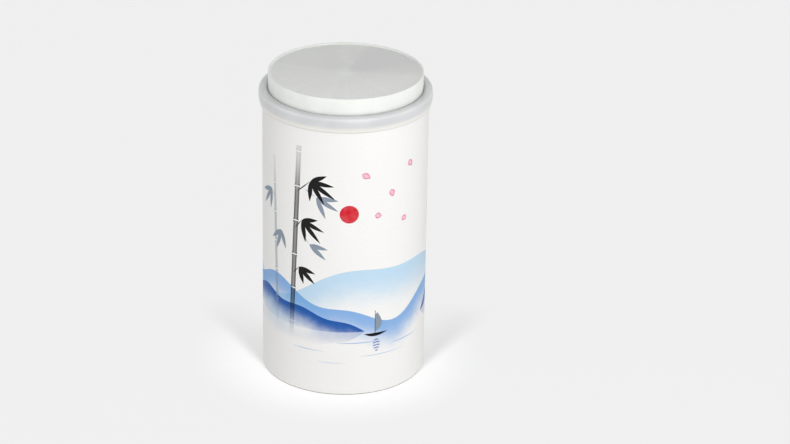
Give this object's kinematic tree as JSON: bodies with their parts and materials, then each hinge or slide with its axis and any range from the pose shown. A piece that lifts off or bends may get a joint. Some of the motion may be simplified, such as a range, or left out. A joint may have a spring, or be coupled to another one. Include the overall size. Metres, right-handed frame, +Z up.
{
  "type": "cylindrical gift tube box",
  "caption": "Upright paper gift tube with a glued-in base, closed by a soft translucent collar over the rim and a recessed-top stopper that plugs into it.",
  "frame": {"origin": "centre of the foot of the tube, on the surface it stands on", "axes": "+Z up the tube's axis towards the stopper, -Y the front with the main print, +Y the back with the wrap's glued lap"},
  "size_m": [0.0836, 0.0836, 0.154],
  "materials": {
    "printed_paper": "matt-laminated art paper, white with a soft printed scene",
    "tube_board": "raw cream-coloured wound board, cut edge",
    "base_greyboard": "raw pressed board",
    "base_paper": "plain white paper",
    "black_paper": "matt black paper",
    "collar_plastic": "milky translucent soft polyethylene, satin",
    "stopper_plastic": "opaque white polyethylene, satin, faint turned marks on the top panel"
  },
  "bodies": {
    "tube": {"printed_wrap": "printed_paper", "outer_board_ply": "tube_board", "middle_board_ply": "tube_board", "inner_board_ply": "tube_board", "bore_liner": "black_paper", "base_hoop": "tube_board", "base_board": "base_greyboard", "base_cover": "base_paper", "base_lining": "black_paper"},
    "collar": {"collar": "collar_plastic"},
    "stopper": {"stopper": "stopper_plastic"}
  },
  "joints": [
    {"name": "collar_lift", "type": "slide", "parent": "tube", "child": "collar", "axis": [0, 0, 1], "range_m": [0, 0.05]},
    {"name": "stopper_lift", "type": "slide", "parent": "collar", "child": "stopper", "axis": [0, 0, 1], "range_m": [0, 0.035]}
  ]
}
